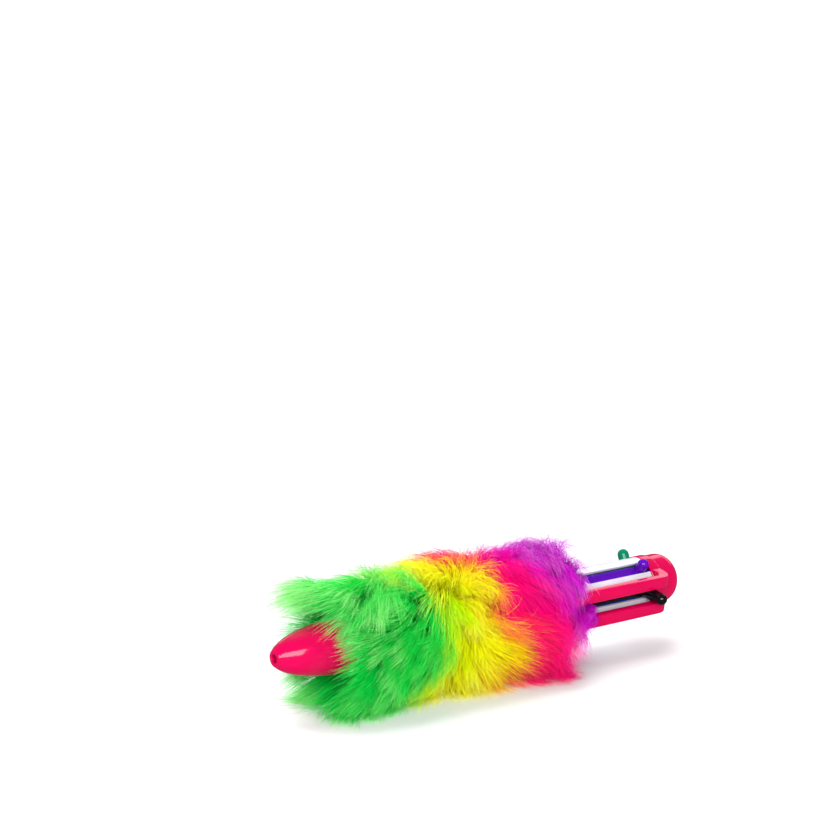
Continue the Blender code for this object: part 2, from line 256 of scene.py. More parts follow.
def coil(name, start, stop, radius, wire, turns, steps=24, sides=8):
    """A wire wound about X, with its first and last turns close together."""
    bm = bmesh.new()
    rings = []
    count = turns * steps
    for i in range(count + 1):
        t = i / count
        eased = t - END_TURNS * math.sin(math.tau * t) / math.tau
        turn = math.tau * turns * t
        out = Vector((0, math.sin(turn), math.cos(turn)))
        middle = Vector((start + (stop - start) * eased, 0, 0)) + out * radius
        ring = []
        for k in range(sides):
            a = math.tau * k / sides
            across = Vector((wire * math.sin(a), 0, 0))
            ring.append(bm.verts.new(middle + out * wire * math.cos(a) + across))
        rings.append(ring)
    for one, two in zip(rings, rings[1:]):
        for k in range(sides):
            bm.faces.new((one[k], one[(k + 1) % sides], two[(k + 1) % sides], two[k]))
    bm.faces.new(rings[0])
    bm.faces.new(rings[-1])
    return finished(bm, name, 60)


def station(color):
    """From a colour's own frame, where +Z points out through its slot, to the shared frame."""
    return Matrix.Translation(AXIS) @ Matrix.Rotation(math.radians(ROLLS[color]), 4, "X")


ON_AXIS = Matrix.Translation(AXIS)
# the same axis for the arrays of the fur
ALONG = np.array((1.0, 0.0, 0.0))
MIDDLE = np.array((0.0, 0.0, AXIS_Z))


def piece(name, mesh, look, body, node=None, where=ON_AXIS):
    """A visible piece, with its place in its mesh, riding on a body and standing for a CAD node."""
    mesh.transform(where)
    mesh.materials.clear()
    mesh.materials.append(look)
    made = bpy.data.objects.new(name, mesh)
    bpy.context.scene.collection.objects.link(made)
    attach(made, body)
    if node:
        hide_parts(node)
    return made


def applied(mesh, *steps, bevel=None, angle=40):
    """A mesh after Boolean steps of (operation, other mesh), with its edges rounded at the end."""
    made = bpy.data.objects.new("work", mesh)
    bpy.context.scene.collection.objects.link(made)
    others = []
    for operation, other in steps:
        helper = bpy.data.objects.new("helper", other)
        bpy.context.scene.collection.objects.link(helper)
        others.append(helper)
        modifier = made.modifiers.new("cut", "BOOLEAN")
        modifier.operation = operation
        modifier.object = helper
    if bevel:
        modifier = made.modifiers.new("edges", "BEVEL")
        modifier.width = bevel
        modifier.segments = 3
        modifier.limit_method = "ANGLE"
        modifier.angle_limit = math.radians(angle)
    graph = bpy.context.evaluated_depsgraph_get()
    result = bpy.data.meshes.new_from_object(made.evaluated_get(graph))
    for each in (made, *others):
        bpy.data.objects.remove(each)
    result.shade_smooth()
    result.set_sharp_from_angle(angle=math.radians(angle))
    return result


# ------------------------------------------------------------------ nose, barrel, cap and clip
EDGE = 0.2 * MM  # the usual softening of an edge
NOSE_REACH = 24.4 * MM  # from the nose's base to where its outline would close
NOSE_WALL = 1.3 * MM
NOSE_LIP = 0.45 * MM
HOLE_RADIUS = 1.3 * MM
HOLE_EDGE = 0.25 * MM
THROAT = 1.8 * MM
SOCKET_RADIUS = 7.2 * MM
SOCKET_DEPTH = 6.5 * MM


def nose_arc(stop_x, steps, inset=0.0, start_x=None):
    """The nose's outline from its base, or from start_x, towards its tip."""
    base = nose_high.x
    first = math.degrees(math.asin((base - (start_x or base)) / NOSE_REACH))
    last = math.degrees(math.asin((base - stop_x) / NOSE_REACH))
    points = arc((base, 0), (-NOSE_REACH, NOSE_RADIUS), 90 - first, 90 - last, steps)
    return [(x, r - inset) for x, r in points]


def make_nose():
    tip_x, base_x = nose_low.x, nose_high.x
    throat_x = tip_x + THROAT
    shell = nose_arc(tip_x + NOSE_LIP, 40)
    lip_radius = shell[-1][1]
    lip = rounded((tip_x, lip_radius - EDGE), shell[-1], (tip_x, HOLE_RADIUS), NOSE_LIP, 6)
    inside = nose_arc(base_x - SOCKET_DEPTH, 20, NOSE_WALL, throat_x)
    outline = [
        (base_x, NOSE_RADIUS - EDGE),
        (base_x - EDGE, NOSE_RADIUS),
        *shell[1:],
        *lip,
        *rounded((tip_x, HOLE_RADIUS), (tip_x, lip_radius), (throat_x, HOLE_RADIUS), HOLE_EDGE),
        (throat_x, HOLE_RADIUS),
        *inside,
        (base_x - SOCKET_DEPTH, SOCKET_RADIUS),
        (base_x, SOCKET_RADIUS),
    ]
    look = plastic("nose_plastic", PINK)
    piece("nose", turned("nose", outline, 96), look, "nose", "nose_cone")


SPIGOT_RADIUS = 6.9 * MM
NECK_RADIUS = 7.65 * MM
REAR_BORE = 7.25 * MM
FRONT_BORE = 6.3 * MM
MOUTH_BORE = 5.4 * MM
MOUTH_TAPER = 2 * MM
BARREL_EDGE = 0.18 * MM
SLOT_WIDTH = 4.2 * MM
SLOT_FRONT_X = 34.6 * MM
SLOT_EDGE = 0.14 * MM
THREAD_WIRE = 0.19 * MM
THREAD_TURNS = 4
SKIRT_X = 62.6 * MM


def make_barrel():
    front, shoulder_x, seat_x = BARREL_FRONT_X, SKIRT_X - GAP, guide_low.x - GAP
    corners = [
        (barrel_low.x, SPIGOT_RADIUS),
        (front, SPIGOT_RADIUS),
        (front, BARREL_RADIUS),
        (shoulder_x, BARREL_RADIUS),
        (shoulder_x, NECK_RADIUS),
        (barrel_high.x, NECK_RADIUS),
        (barrel_high.x, REAR_BORE),
        (seat_x, REAR_BORE),
        (seat_x, FRONT_BORE),
        (front + MOUTH_TAPER, FRONT_BORE),
        (front, MOUTH_BORE),
        (barrel_low.x, MOUTH_BORE),
    ]
    # the spigot's end and the outer edges of the two shoulders are rounded
    tube = turned("barrel", softened(corners, BARREL_EDGE, sharp=(1, 4, 5, 6, 7, 8, 9, 10)), 128)
    half, open_end = SLOT_WIDTH / 2, barrel_high.x + 4 * MM
    plan = [
        (open_end, half),
        *arc((SLOT_FRONT_X + half, 0), (half, half), 90, 270, 20),
        (open_end, -half),
    ]
    cut_from, cut_depth = 5 * MM, 5 * MM
    cuts = []
    for roll in ROLLS.values():
        slot = prism("slot", [(x, y, cut_from) for x, y in plan], (0, 0, cut_depth))
        slot.transform(Matrix.Rotation(math.radians(roll), 4, "X"))
        cuts.append(("DIFFERENCE", slot))
    mesh = applied(tube, *cuts, bevel=SLOT_EDGE, angle=50)
    look = plastic("barrel_plastic", (0.57, 0.58, 0.64), 0.18)
    piece("barrel", mesh, look, "pen", "main_barrel")
    thread_start, thread_stop = barrel_low.x + 0.8 * MM, front - 1 * MM
    thread = coil("thread", thread_start, thread_stop, SPIGOT_RADIUS, THREAD_WIRE, THREAD_TURNS, 64)
    piece("barrel_thread", thread, look, "pen")


ARM_OFFSET = 4.3 * MM
ARM_WIDTH = 3.8 * MM
ARM_LOW = 9.6 * MM
ARM_HIGH = 12.6 * MM
ARM_REAR_X = 66.8 * MM
ARM_ROOT = 3.7 * MM
ARM_EDGE = 0.45 * MM
BRIDGE_LENGTH = 3.5 * MM
SKIRT_RADIUS = 8.4 * MM
SKIRT_LENGTH = 3.8 * MM
SKIRT_EDGE = 0.15 * MM
DOME_RADIUS = 8.05 * MM
DOME_LENGTH = 6 * MM
CAP_BORE = 7.3 * MM
CAP_FLOOR_X = 69.2 * MM
BOSS_ROOM = 3.2 * MM
BOSS_END_X = 71.9 * MM


def cap_solid():
    """The cap's skirt and dome, before the clip is added and its hollow is cut."""
    step_x = SKIRT_X + SKIRT_LENGTH
    dome_x = step_x + 0.3 * MM
    dome = arc((TAIL_X - DOME_LENGTH, 0), (DOME_LENGTH, DOME_RADIUS), 90, 0, 24)
    outline = [
        (SKIRT_X, 0),
        (SKIRT_X, SKIRT_RADIUS - SKIRT_EDGE),
        (SKIRT_X + SKIRT_EDGE, SKIRT_RADIUS),
        *rounded((step_x, SKIRT_RADIUS), (SKIRT_X, SKIRT_RADIUS), (dome_x, DOME_RADIUS), EDGE),
        *rounded((dome_x, DOME_RADIUS), (step_x, SKIRT_RADIUS), dome[0], EDGE),
        *dome[:-1],
        (TAIL_X, 0),
    ]
    return turned("cap", outline, 128, hollow=False)


def clip_parts():
    """The clip's two arms, and the bridge that joins them in front."""
    # radii of an arm's inner bend, of its outer bend and of its free end
    inner, outer, end = 1.6 * MM, 5 * MM, 1.6 * MM
    root_x, inside = ARM_REAR_X - ARM_ROOT, SKIRT_RADIUS * 0.6
    side = [
        *arc((root_x - inner, ARM_LOW - inner), (inner, inner), 90, 0, 10),
        (root_x, inside),
        (ARM_REAR_X, inside),
        *arc((ARM_REAR_X - outer, ARM_HIGH - outer), (outer, outer), 0, 90, 20),
        *arc((cap_low.x + end, ARM_HIGH - end), (end, end), 90, 180, 8),
        (cap_low.x, ARM_LOW),
    ]
    made = []
    for sign in (-1, 1):
        near = sign * ARM_OFFSET - ARM_WIDTH / 2
        arm = prism("arm", [(x, near, z) for x, z in side], (0, ARM_WIDTH, 0))
        made.append(applied(arm, bevel=ARM_EDGE))
    x0, x1 = cap_low.x + EDGE, cap_low.x + BRIDGE_LENGTH
    z0, z1 = ARM_LOW + EDGE, ARM_HIGH - end
    corners = [(x0, z0), (x1, z0), (x1, z1), (x0, z1)]
    bridge = prism("bridge", [(x, -ARM_OFFSET, z) for x, z in corners], (0, 2 * ARM_OFFSET, 0))
    return [*made, bridge]


def cap_hollow():
    """Room in the cap for the barrel's neck, the sliders and the core's boss."""
    ahead_x, neck_end = SKIRT_X - 1 * MM, barrel_high.x + GAP
    neck_room = NECK_RADIUS + GAP
    outline = [
        (ahead_x, 0),
        (ahead_x, neck_room),
        (neck_end, neck_room),
        (neck_end, CAP_BORE),
        (CAP_FLOOR_X, CAP_BORE),
        (CAP_FLOOR_X, BOSS_ROOM),
        (BOSS_END_X, BOSS_ROOM),
        (BOSS_END_X, 0),
    ]
    return turned("hollow", outline, 96, hollow=False)


def make_cap():
    turn = Matrix.Rotation(math.radians(ROLLS["black"]), 4, "X")
    steps = []
    for part in clip_parts():
        part.transform(turn)
        steps.append(("UNION", part))
    mesh = applied(cap_solid(), *steps, ("DIFFERENCE", cap_hollow()))
    piece("cap_with_clip", mesh, plastic("cap_plastic", PINK), "pen", "cap_and_clip")


# ------------------------------------------------------------------ sliders, refills and springs
SLIDER_FRONT_X = slider_low.x + 2.3 * MM
SLIDER_REAR_X = slider_high.x
SLIDER_HALF = 1.85 * MM
SLIDER_LOW, SLIDER_HIGH = 3.6 * MM, 6.7 * MM
WING_HALF = 2.4 * MM
WING_LOW, WING_HIGH = 4.8 * MM, 5.6 * MM
NIB_RADIUS = 0.5 * MM
PEG_X = 59.7 * MM
PEG_FOOT = 5 * MM
PEG_RADIUS = 1.85 * MM
PIVOT_X = 34.7 * MM
REFILL_RISE = 4.6 * MM
TIP_X = -69.2 * MM
TIP_RISE = 2.8 * MM
TUBE_FRONT_X = -64 * MM
TUBE_RADIUS, TUBE_BORE = 1.15 * MM, 0.8 * MM
SPRING_RADIUS, SPRING_WIRE, SPRING_TURNS = 1.65 * MM, 0.18 * MM, 13
TILT = math.atan2(REFILL_RISE - TIP_RISE, PIVOT_X - TIP_X)


def make_slider(color):
    """A bar with wings that run inside the barrel's wall, a peg to push, and a nib in the refill."""
    section = [
        (-SLIDER_HALF, SLIDER_LOW),
        (SLIDER_HALF, SLIDER_LOW),
        (WING_HALF, WING_LOW),
        (WING_HALF, WING_HIGH),
        (SLIDER_HALF, WING_HIGH + GAP),
        (SLIDER_HALF, SLIDER_HIGH),
        (-SLIDER_HALF, SLIDER_HIGH),
        (-SLIDER_HALF, WING_HIGH + GAP),
        (-WING_HALF, WING_HIGH),
        (-WING_HALF, WING_LOW),
    ]
    length = SLIDER_REAR_X - SLIDER_FRONT_X
    bar = prism("bar", [(SLIDER_FRONT_X, y, z) for y, z in section], (length, 0, 0))
    bar = applied(bar, bevel=EDGE, angle=30)
    # the black one is a long lever that reaches out between the clip's arms
    foot_radius, rise = (2.05 * MM, 14.8 * MM) if color == "black" else (1.8 * MM, 9.6 * MM)
    top = arc((rise, 0), (PEG_RADIUS, PEG_RADIUS), 90, 0, 16)
    outline = [(PEG_FOOT, 0), (PEG_FOOT, foot_radius), *top[:-1], (rise + PEG_RADIUS, 0)]
    peg = turned("peg", outline, 48, hollow=False)
    peg.transform(Matrix.Translation((PEG_X, 0, 0)) @ Matrix.Rotation(-math.pi / 2, 4, "Y"))
    start, stop = slider_low.x, SLIDER_FRONT_X + 1 * MM
    outline = [(start, 0), (start, NIB_RADIUS), (stop, NIB_RADIUS), (stop, 0)]
    nib = turned("nib", outline, 24, hollow=False)
    nib.transform(Matrix.Translation((0, 0, REFILL_RISE)))
    mesh = applied(bar, ("UNION", peg), ("UNION", nib))
    slot = f"{color}_plastic"
    look = plastic(slot, PLASTICS[color], 0.13)
    piece(f"{color}_button", mesh, look, f"{color}_slider", f"slider_{color}", station(color))


def leaning(color):
    """From a refill's own frame, with its hinge at the origin and X along it, to the shared frame."""
    hinge = Matrix.Translation((PIVOT_X, 0, REFILL_RISE))
    return station(color) @ hinge @ Matrix.Rotation(-TILT, 4, "Y")


def make_refill(color, tip_look):
    """A tube dyed by its ink, and a metal tip with the ball in it."""
    where, body = leaning(color), f"{color}_refill"
    rear, front = 0.6 * MM, TUBE_FRONT_X - PIVOT_X
    corners = [(rear, TUBE_BORE), (rear, TUBE_RADIUS), (front, TUBE_RADIUS), (front, TUBE_BORE)]
    mesh = turned("tube", softened(corners, 0.1 * MM), 32)
    tint = tuple(0.6 * c + 0.12 for c in PLASTICS[color])
    slot = f"{color}_refill"
    piece(f"{color}_tube", mesh, plastic(slot, tint, 0.28), body, f"refill_tube_{color}", where)

    tip = TIP_X - PIVOT_X
    plug_x, seat_x, ball_x = front + 3 * MM, front - GAP, tip + 0.25 * MM
    shank, shoulder, cut = 0.5 * MM, 1.05 * MM, 0.1 * MM
    outline = [
        (plug_x, 0),
        (plug_x, shank),
        (seat_x, shank),
        (seat_x, shoulder - cut),
        (seat_x - cut, shoulder),
        (tip + 2.9 * MM, shoulder),
        (tip + 2.7 * MM, shoulder - cut),
        (tip + 1.2 * MM, 0.62 * MM),
        (tip + 1.1 * MM, 0.55 * MM),
        (ball_x, 0.4 * MM),
        *arc((ball_x, 0), (-0.25 * MM, 0.3 * MM), 90, 0, 8)[:-1],
        (tip, 0),
    ]
    mesh = turned("tip", outline, 32, hollow=False)
    piece(f"{color}_tip", mesh, tip_look, body, f"refill_tip_{color}", where)


def make_spring(color, look):
    """A coil wound from the spring guide to the slider, with a mesh of its own."""
    start, stop = guide_high.x + 0.5 * MM, SLIDER_FRONT_X - 0.5 * MM
    mesh = coil("spring", start - PIVOT_X, stop - PIVOT_X, SPRING_RADIUS, SPRING_WIRE, SPRING_TURNS)
    name, node, where = f"{color}_spring", f"return_spring_{color}", leaning(color)
    made = piece(name, mesh, look, "pen", node, where)
    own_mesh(made)


def make_insides():
    tip_look = metal("tip_metal", (0.78, 0.72, 0.58), 0.2)
    steel = metal("spring_steel", (0.7, 0.7, 0.72), 0.28)
    for color in ROLLS:
        make_slider(color)
        make_refill(color, tip_look)
        make_spring(color, steel)
    for node, slot in (("slider_core", "core_plastic"), ("spring_guide", "guide_plastic")):
        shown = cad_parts[node]
        for each in shown.material_slots:
            each.material = plastic(slot, (0.75, 0.75, 0.78), 0.35)


# ------------------------------------------------------------------ fur sleeve
def make_backing():
    """The knitted tube that the fur grows on, with a rounded edge at each end."""
    inner = BARREL_RADIUS + GAP
    corners = [
        (SLEEVE_FRONT_X, inner),
        (SLEEVE_FRONT_X, BACKING_RADIUS),
        (SLEEVE_REAR_X, BACKING_RADIUS),
        (SLEEVE_REAR_X, inner),
    ]
    mesh = turned("backing", softened(corners, 0.22 * MM), 96)
    dye = [(place, middle) for place, _, middle, _ in RAINBOW]
    look = knit("backing_knit", dye, SLEEVE_FRONT_X, SLEEVE_REAR_X)
    made = piece("backing", mesh, look, "pen", "fur_backing")


# the rainbow along the sleeve, as (where the colour is, its root, its middle, its tip): the middle is the
# dye, the root is darkened as painted shade deep in the pile, and the tip is paled as a painted sheen of
# light through the fine tips
RAINBOW = [
    (0.00, (0.0, 0.22, 0.01), (0.0, 0.70, 0.07), (0.42, 0.97, 0.32)),
    (0.23, (0.0, 0.24, 0.01), (0.0, 0.72, 0.06), (0.22, 0.96, 0.18)),
    (0.285, (0.10, 0.42, 0.0), (0.50, 0.92, 0.0), (0.80, 1.0, 0.06)),
    (0.325, (0.55, 0.58, 0.0), (0.92, 0.93, 0.0), (0.98, 1.0, 0.10)),
    (0.43, (0.80, 0.56, 0.0), (1.0, 0.88, 0.0), (1.0, 0.98, 0.10)),
    (0.47, (0.80, 0.12, 0.0), (1.0, 0.42, 0.0), (1.0, 0.66, 0.04)),
    (0.50, (0.74, 0.0, 0.04), (1.0, 0.01, 0.10), (1.0, 0.26, 0.08)),
    (0.55, (0.66, 0.0, 0.09), (1.0, 0.0, 0.15), (1.0, 0.02, 0.24)),
    (0.70, (0.58, 0.0, 0.18), (0.98, 0.0, 0.28), (1.0, 0.05, 0.44)),
    (0.76, (0.44, 0.0, 0.34), (0.80, 0.0, 0.54), (0.95, 0.16, 0.74)),
    (0.86, (0.38, 0.0, 0.42), (0.66, 0.0, 0.60), (0.88, 0.26, 0.80)),
    (1.00, (0.34, 0.0, 0.42), (0.60, 0.0, 0.62), (0.86, 0.34, 0.84)),
]
STRAND_MAP = "OFBake"


def fur_look():
    """Colour runs along the map: u is the place along the rainbow, and v runs from root to tip, from
    painted shade at the root through the dye to a painted sheen at the tip.
    """
    made = Shader("rainbow_fur", 0.45, IOR=1.45, Specular_IOR_Level=0.06)
    coords = made.node("UVMap", uv_map=STRAND_MAP).outputs[0]
    split = made.node("SeparateXYZ", {0: coords}).outputs
    across, along = split["X"], split["Y"]
    columns = made.node("CombineXYZ", {"X": across}).outputs[0]
    spread = made.ranged(made.noise(columns, 700.0, 0.0), -0.02, 0.02, 0.2, 0.8)
    place = made.node("Math", {0: across, 1: spread}, operation="ADD").outputs[0]
    # roots take the painted shade colours, middles the dye, and tips the painted sheen colours
    shaded_roots, middles, sheened_tips = (made.ramp(place, [(s[0], s[k]) for s in RAINBOW]) for k in (1, 2, 3))
    low = made.ranged(along, 0.0, 1.0, 0.05, 0.38)
    high = made.ranged(along, 0.0, 1.0, 0.54, 0.96)
    lower = made.node("Mix", {0: low, 6: shaded_roots, 7: middles}, data_type="RGBA").outputs[2]
    upper = made.node("Mix", {0: high, 6: lower, 7: sheened_tips}, data_type="RGBA").outputs[2]
    shade = made.ranged(made.noise(columns, 1900.0, 0.0), 0.8, 1.12, 0.25, 0.75)
    tone = made.node("CombineXYZ", {"X": shade, "Y": shade, "Z": shade}).outputs[0]
    varied = made.node("VectorMath", {0: upper, 1: tone}, operation="MULTIPLY").outputs[0]
    made.feed("Base Color", varied)
    made.feed("Roughness", made.ranged(along, 0.6, 0.4))
    return made.material


SIDES = 3
RINGS = 6
STRAND_RADIUS = 0.055 * MM
STRAND_LENGTH = 17.5 * MM
FLOOR_CLEAR = 0.25 * MM
# how far to the sides the pile spreads before it gives way, and the most it reaches
SPREAD, WIDEST = 27.5 * MM, 32.0 * MM
# shares of all strands: extra ones at the front edge, short undercoat, and strays
EDGE_SHARE, EDGE_WIDTH = 0.04, 3 * MM
UNDER_SHARE, UNDER_LONG, UNDER_LEAN = 0.22, 0.62, 0.45
STRAY_SHARE, REAR_STRAYS = 0.025, 0.06
# tufts and the locks they make up: how long each is along the sleeve, and how many go round it
TUFT_LONG, TUFTS_ROUND = 1.7 * MM, 34
LOCK_LONG, LOCKS_ROUND = 4.2 * MM, 14
# a strand's lean at its root and what it gains to its tip, what it loses of its lift, and its sag
LEAN, MORE_LEAN, LESS_LIFT, SAG = 0.32, 0.9, 0.9, 0.42
# how much a strand curls, and how much more it does towards its tip, or does if it is a stray
CURL, LATE_CURL, STRAY_CURL = 0.06, 0.1, 0.6
# turns, in degrees, of the pile's low near side, its full top, and where it clears the nose
LOW_TURN, TOP_TURN, NOSE_TURN = 135, -20, 58
# how the pile is combed, by place along the sleeve: towards the cap, round the pen, out, and how long
COMBED_AT = (0.0, 0.06, 0.15, 0.25, 0.35, 0.46, 0.55, 0.65, 0.75, 0.85, 0.93, 1.0)
COMBED_ALONG = (-1.35, -1.25, -1.1, -0.9, -0.55, -0.05, 0.45, 0.55, 0.3, -0.1, -0.5, -1.0)
COMBED_ROUND = (0.05, 0.1, 0.15, 0.25, 0.40, 0.40, 0.40, 0.60, 0.80, 0.70, 0.60, 0.70)
LIFTED = (1.6, 1.6, 1.55, 1.45, 1.4, 1.35, 1.3, 1.3, 1.5, 1.9, 1.8, 1.4)
LONGER = (1.3, 1.25, 1.15, 1.08, 1.05, 1.02, 1.0, 1.02, 1.04, 1.08, 0.94, 0.6)
# places where the pile is ruffled: (x, turn in degrees, reach, lean along, lean round, lift, how long)
RUFFLES = [
    (-14 * MM, 92, 4.5 * MM, 1.2, 0.1, 1.3, 1.0),
    (-8 * MM, -34, 8.5 * MM, -2.0, 0.0, 3.2, 1.35),
    (27 * MM, 152, 8.0 * MM, -0.5, -0.5, 1.4, 1.0),
    (28 * MM, -12, 5.5 * MM, -0.2, 0.3, 2.2, 1.12),
]
# how far on along the rainbow the pile is than along the sleeve: a row for each place along the
# sleeve, with a number for each turn in degrees
BAND_TURNS = (-60, 0, 25, 55, 80, 107, 130, 160, 300)
BAND_PLACES = (0.0, 0.30, 0.50, 0.60, 0.75, 1.0)
BAND_SHIFTS = (
    (0.0, 0.0, 0.0, 0.0, 0.0, 0.0, 0.0, 0.0, 0.0),
    (0.09, 0.01, -0.08, -0.06, -0.077, -0.04, 0.03, 0.05, 0.09),
    (0.13, -0.04, -0.07, -0.02, -0.01, -0.08, -0.03, -0.03, 0.13),
    (0.07, 0.04, 0.01, -0.03, -0.07, -0.06, -0.05, -0.05, 0.07),
    (0.15, 0.09, -0.01, -0.04, -0.105, -0.16, -0.20, -0.18, 0.15),
    (0.10, 0.05, 0.0, -0.03, -0.08, -0.12, -0.16, -0.15, 0.10),
)


def smooth(value, low, high):
    """0 below low, 1 above high, and an easy rise between."""
    t = np.clip((value - low) / (high - low), 0, 1)
    return t * t * (3 - 2 * t)


def waves(x, turn, seed, count=7, sizes=(6, 26)):
    """A smooth random field over the sleeve, about -1 to 1, from a few sine waves."""
    rng = np.random.default_rng(seed)
    total = np.zeros_like(x)
    for _ in range(count):
        length = rng.uniform(*sizes) * MM
        around = rng.integers(-4, 5)
        total += np.sin(math.tau * x / length + around * turn + rng.uniform(0, math.tau))
    return total / math.sqrt(count)


def cells(x, turn, long, round_count, jitter):
    """Which cell of the sleeve each root falls in, and a point for each cell to draw towards."""
    column = np.floor((x - SLEEVE_FRONT_X) / long).astype(int)
    stagger = (column % 2) * math.pi / round_count
    row = np.floor(((turn + stagger) % math.tau) / math.tau * round_count).astype(int)
    count = (column.max() + 1) * round_count
    index = np.arange(count)
    spread = jitter.uniform(-0.4, 0.4, (2, count))
    middle_x = SLEEVE_FRONT_X + (index // round_count + 0.5 + spread[0]) * long
    middle_turn = (index % round_count + 0.5 + spread[1]) * math.tau / round_count
    middle_turn -= (index // round_count % 2) * math.pi / round_count
    y, z = -np.sin(middle_turn) * BACKING_RADIUS, np.cos(middle_turn) * BACKING_RADIUS + AXIS_Z
    return column * round_count + row, np.stack([middle_x, y, z], 1)


def facing(turn, towards, low, high):
    """How well a root faces a turn given in degrees, from 0 to 1."""
    return smooth(np.cos(turn - math.radians(towards)), low, high)


def ruffle(x, turn, axial, sideways, lift):
    """Change the pile's lie near each ruffle, and give how much longer it is there."""
    longer = np.ones_like(x)
    for ruffle_x, ruffle_turn, reach, lean_along, lean_round, lean_out, ruffle_long in RUFFLES:
        apart = (turn - math.radians(ruffle_turn) + math.pi) % math.tau - math.pi
        near = np.exp(-((x - ruffle_x) ** 2 + (apart * 1.4 * BACKING_RADIUS) ** 2) / reach**2)
        axial += (lean_along - axial) * near
        sideways += (lean_round - sideways) * near
        lift += (lean_out - lift) * near
        longer += (ruffle_long - 1) * near
    return longer


def grow_fur(count, seed=7):
    """Paths, places along the rainbow and paleness, with one row for each strand."""
    rng = np.random.default_rng(seed)
    length = SLEEVE_REAR_X - SLEEVE_FRONT_X
    x = SLEEVE_FRONT_X + length * rng.random(count)
    edge = rng.random(count) < EDGE_SHARE
    x = np.where(edge, SLEEVE_FRONT_X + EDGE_WIDTH * rng.random(count), x)
    turn = math.tau * rng.random(count)
    where = (x - SLEEVE_FRONT_X) / length

    # locks and the finer tufts in them: their strands share one lean and draw together
    jitter = np.random.default_rng(seed + 1)
    tuft, tuft_root = cells(x, turn, TUFT_LONG, TUFTS_ROUND, jitter)
    lock, lock_root = cells(x, turn, LOCK_LONG, LOCKS_ROUND, jitter)

    def by_tuft(draw, *sizes):
        return draw(*sizes, len(tuft_root))[tuft]

    def by_lock(draw, *sizes):
        return draw(*sizes, len(lock_root))[lock]

    lock_along, lock_round = by_lock(jitter.normal, 0, 0.2), by_lock(jitter.normal, 0, 0.22)
    tuft_along, tuft_round = by_tuft(jitter.normal, 0, 0.1), by_tuft(jitter.normal, 0, 0.12)
    tuft_long = by_tuft(jitter.uniform, 0.88, 1.06) * by_lock(jitter.uniform, 0.92, 1.06)
    pale = by_tuft(jitter.uniform, 0.68, 1.06) * by_lock(jitter.uniform, 0.76, 1.08)
    tuft_pull, lock_pull = by_tuft(jitter.uniform, 0.5, 0.95), by_lock(jitter.uniform, 0.0, 0.5)

    # how the fur lies: forward over the nose in front, then round the pen behind
    axial = np.interp(where, COMBED_AT, COMBED_ALONG)
    sideways = np.interp(where, COMBED_AT, COMBED_ROUND)
    swirl = (0.55 - 0.25 * smooth(where, 0.55, 0.8)) * waves(x, turn, seed + 2, sizes=(16, 44))
    axial, sideways = (
        axial * np.cos(swirl) - sideways * np.sin(swirl),
        axial * np.sin(swirl) + sideways * np.cos(swirl),
    )
    lift = np.interp(where, COMBED_AT, LIFTED)
    ruffled = ruffle(x, turn, axial, sideways, lift)
    axial += 0.18 * waves(x, turn, seed + 3) + lock_along + tuft_along + rng.normal(0, 0.07, count)
    sideways += 0.18 * waves(x, turn, seed + 4) + lock_round + tuft_round + rng.normal(0, 0.07, count)
    at_front, at_rear = 1 - smooth(where, 0.0, 0.09), smooth(where, 0.9, 1.0)
    lift *= 1 - 0.8 * (at_front + at_rear) * rng.random(count)
    axial += at_rear * rng.uniform(0.0, 0.3, count)
    # low on the near side the pile is pushed out over the floor, not under the pen
    low_side = facing(turn, LOW_TURN, 0.25, 0.9)
    sideways -= low_side * (sideways + 0.1)
    axial -= 0.5 * low_side * smooth(where, 0.7, 0.95)
    lift *= 1 + 0.35 * low_side
    long = STRAND_LENGTH * tuft_long * np.interp(where, COMBED_AT, LONGER)
    long *= rng.uniform(0.7, 1.05, count)
    long *= ruffled
    long *= 1 + (0.12 + 0.22 * smooth(where, 0.35, 0.6) + 0.15 * smooth(where, 0.75, 0.95)) * low_side
    # on top, in front, the fur stands full and long, and its colour is paled further there as a painted
    # highlight on the top of the pile
    high_side = facing(turn, TOP_TURN, 0.4, 1.0) * (1 - smooth(where, 0.25, 0.45))
    long *= 1 + 0.22 * high_side
    lift *= 1 + 0.1 * high_side
    pale *= 1 + 0.35 * high_side
    # at one side of its front end the fur is short and leaves the nose free
    nose_side = np.exp(-(((turn - math.radians(NOSE_TURN)) / 0.75) ** 2))
    long *= 1 - 0.44 * nose_side * (1 - smooth(where, 0.05, 0.2))
    # the undercoat fills between the locks, and strays belong to no lock
    under = rng.random(count) < UNDER_SHARE
    long *= np.where(under, UNDER_LONG, 1.0)
    axial *= np.where(under, UNDER_LEAN, 1.0)
    sideways *= np.where(under, UNDER_LEAN, 1.0)
    stray = rng.random(count) < STRAY_SHARE + REAR_STRAYS * at_rear
    long = np.where(stray, long * rng.uniform(0.95, 1.2, count), long)

    out = np.stack([np.zeros(count), -np.sin(turn), np.cos(turn)], 1)
    root = ALONG * x[:, None] + out * (BACKING_RADIUS - 0.1 * MM) + MIDDLE
    to_tuft = (root - tuft_root[tuft]) * tuft_pull[:, None]
    to_lock = (tuft_root[tuft] - lock_root[lock]) * lock_pull[:, None]
    drawn = np.where(stray[:, None], 0, to_tuft + to_lock)
    clip = Clip()
    between = clip.between(root)
    path = grow_paths(rng, root, long, (axial, sideways, lift), drawn, stray, between, clip)
    path = kept_clear(path, clip)
    place = rainbow_places(where, turn) + 0.012 * waves(x, turn, seed + 5) + rng.normal(0, 0.008, count)
    keep = between | ~clip.under(root)
    return path[keep], np.clip(place, 0, 1)[keep], pale[keep]


